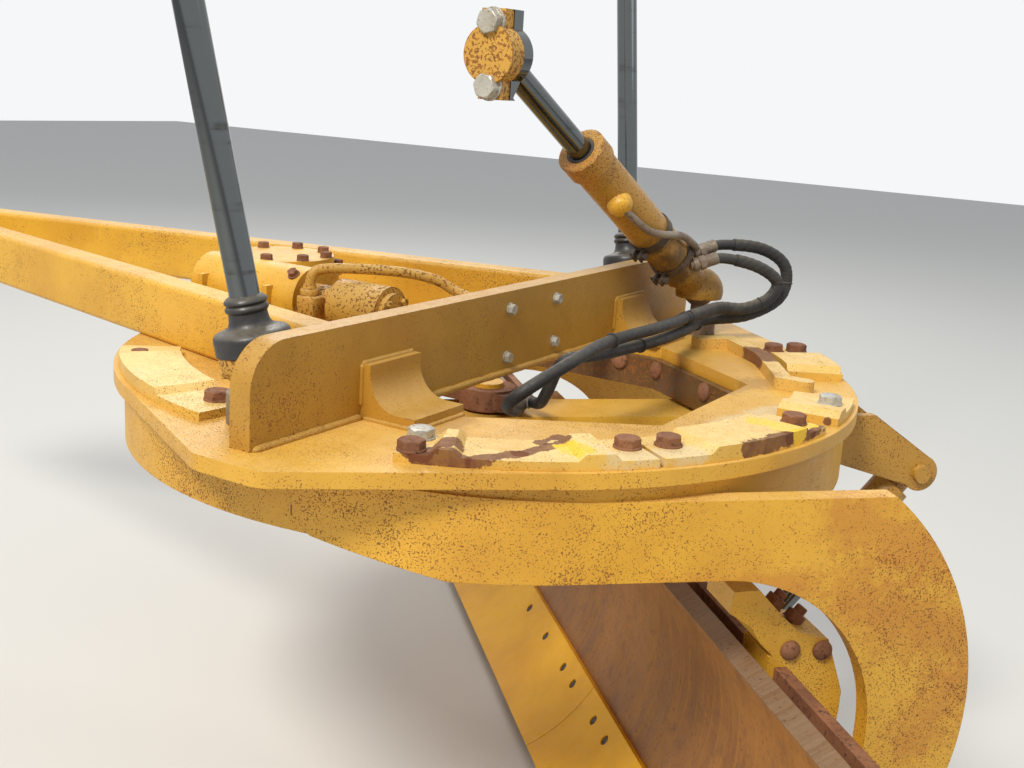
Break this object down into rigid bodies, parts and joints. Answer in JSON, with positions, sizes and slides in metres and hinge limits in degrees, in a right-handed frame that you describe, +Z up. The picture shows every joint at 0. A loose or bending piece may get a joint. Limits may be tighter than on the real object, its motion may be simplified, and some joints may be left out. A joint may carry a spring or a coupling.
{
  "type": "motor grader blade assembly",
  "caption": "Drawbar, toothed circle and curved moldboard of a motor grader, with lift, centre shift, side shift and tip cylinders.",
  "frame": {"origin": "centre of the hitch ball at the front of the drawbar", "axes": "+X forward, +Y to the machine's left, +Z up, square to the deck"},
  "size_m": [3.9051, 2.7677, 3.0514],
  "materials": {
    "paint": "semi-gloss, rust speckled",
    "shaded_paint": "dull",
    "rusty_steel": "rusty",
    "bare_steel": "worn",
    "chrome_rod": "polished",
    "worn_steel": "earth polished with rust streaks",
    "edge_paint": "new gloss paint",
    "hose_rubber": "matt"
  },
  "bodies": {
    "drawbar": {"hitch_ball": "bare_steel", "nose": "paint", "beam_left": "paint", "beam_right": "paint", "yoke_plate": "paint", "yoke_skirt": "shaded_paint", "cross_wall": "shaded_paint", "wall_brackets": "paint", "guide_shoes": "paint", "shoe_bolts": "rusty_steel", "deck_bar": "paint", "wear_pads": "rusty_steel", "guide_clamps": "rusty_steel", "lift_studs": "bare_steel", "shift_stud": "bare_steel", "drive_case": "paint", "drive_motor": "rusty_steel", "swivel_body": "rusty_steel", "hose_long": "hose_rubber", "hose_short": "hose_rubber"},
    "pinion": {"pinion": "bare_steel"},
    "circle": {"circle_gear": "paint", "circle_drum": "paint", "circle_tie": "paint", "arm_left": "paint", "arm_right": "paint", "pivot_pins": "bare_steel", "tip_clevis": "paint"},
    "blade_carrier": {"pivot_tube": "shaded_paint", "carrier_left": "paint", "carrier_right": "paint", "slide_barrel": "rusty_steel"},
    "blade": {"moldboard": "worn_steel", "cutting_edges": "edge_paint", "end_bits": "bare_steel", "upper_rail": "rusty_steel", "lower_rail": "rusty_steel", "slide_rod": "chrome_rod"},
    "tip_barrel": {"tip_barrel": "paint"},
    "tip_rod": {"tip_rod": "chrome_rod"},
    "lift_rod_left": {"lift_rod_left": "chrome_rod"},
    "lift_barrel_left": {"lift_barrel_left": "paint"},
    "lift_rod_right": {"lift_rod_right": "chrome_rod"},
    "lift_barrel_right": {"lift_barrel_right": "paint"},
    "shift_barrel": {"shift_barrel": "paint", "shift_pipes": "bare_steel", "shift_bands": "hose_rubber"},
    "shift_rod": {"shift_rod": "chrome_rod", "shift_cap": "bare_steel"}
  },
  "joints": [
    {"name": "circle_turn", "type": "hinge", "parent": "drawbar", "child": "circle", "pos_m": [-2.25, 0, -0.065], "axis": [0, 0, 1], "continuous": true},
    {"name": "pinion_turn", "type": "hinge", "parent": "drawbar", "child": "pinion", "pos_m": [-1.73465, 0.10017, -0.065], "axis": [0, 0, 1], "continuous": true},
    {"name": "blade_tip", "type": "hinge", "parent": "circle", "child": "blade_carrier", "pos_m": [-2.62477, -0.37477, -0.845], "axis": [-0.7071, 0.7071, 0], "range_deg": [-5, 40]},
    {"name": "blade_slide", "type": "slide", "parent": "blade_carrier", "child": "blade", "axis": [-0.7071, 0.7071, 0], "range_m": [-0.543, 0.917]},
    {"name": "tip_swing", "type": "hinge", "parent": "circle", "child": "tip_barrel", "pos_m": [-3.06529, -0.46174, -0.241], "axis": [-0.7071, 0.7071, 0], "range_deg": [-5.87, 1.26]},
    {"name": "tip_extend", "type": "slide", "parent": "tip_barrel", "child": "tip_rod", "axis": [0.4489, 0.4489, -0.7727], "range_m": [-0.0137, 0.089]},
    {"name": "lift_left_swing", "type": "hinge", "parent": "drawbar", "child": "lift_rod_left", "pos_m": [-2.223, 0.706, 0.063], "axis": [1, 0, 0], "range_deg": [-10, 20]},
    {"name": "lift_left_extend", "type": "slide", "parent": "lift_rod_left", "child": "lift_barrel_left", "axis": [0.1531, 0.1139, 0.9816], "range_m": [-0.6, 0.5]},
    {"name": "lift_right_swing", "type": "hinge", "parent": "drawbar", "child": "lift_rod_right", "pos_m": [-2.223, -0.706, 0.063], "axis": [1, 0, 0], "range_deg": [-20, 10]},
    {"name": "lift_right_extend", "type": "slide", "parent": "lift_rod_right", "child": "lift_barrel_right", "axis": [0.1531, -0.1139, 0.9816], "range_m": [-0.6, 0.5]},
    {"name": "shift_swing", "type": "hinge", "parent": "drawbar", "child": "shift_barrel", "pos_m": [-2.45, -0.66, 0.042], "axis": [0.9742, -0.2256, 0], "range_deg": [-12, 18], "deforming": ["hose_long", "hose_short"]},
    {"name": "shift_extend", "type": "slide", "parent": "shift_barrel", "child": "shift_rod", "axis": [0.1836, 0.7928, 0.5811], "range_m": [-0.26, 0.22]}
  ],
  "couplings": [
    {"joint": "pinion_turn", "follows": "circle_turn", "ratio": 6},
    {"joint": "tip_swing", "follows": "blade_tip", "ratio": -0.13184},
    {"joint": "tip_extend", "follows": "blade_tip", "m_per_rad": 0.12319}
  ]
}
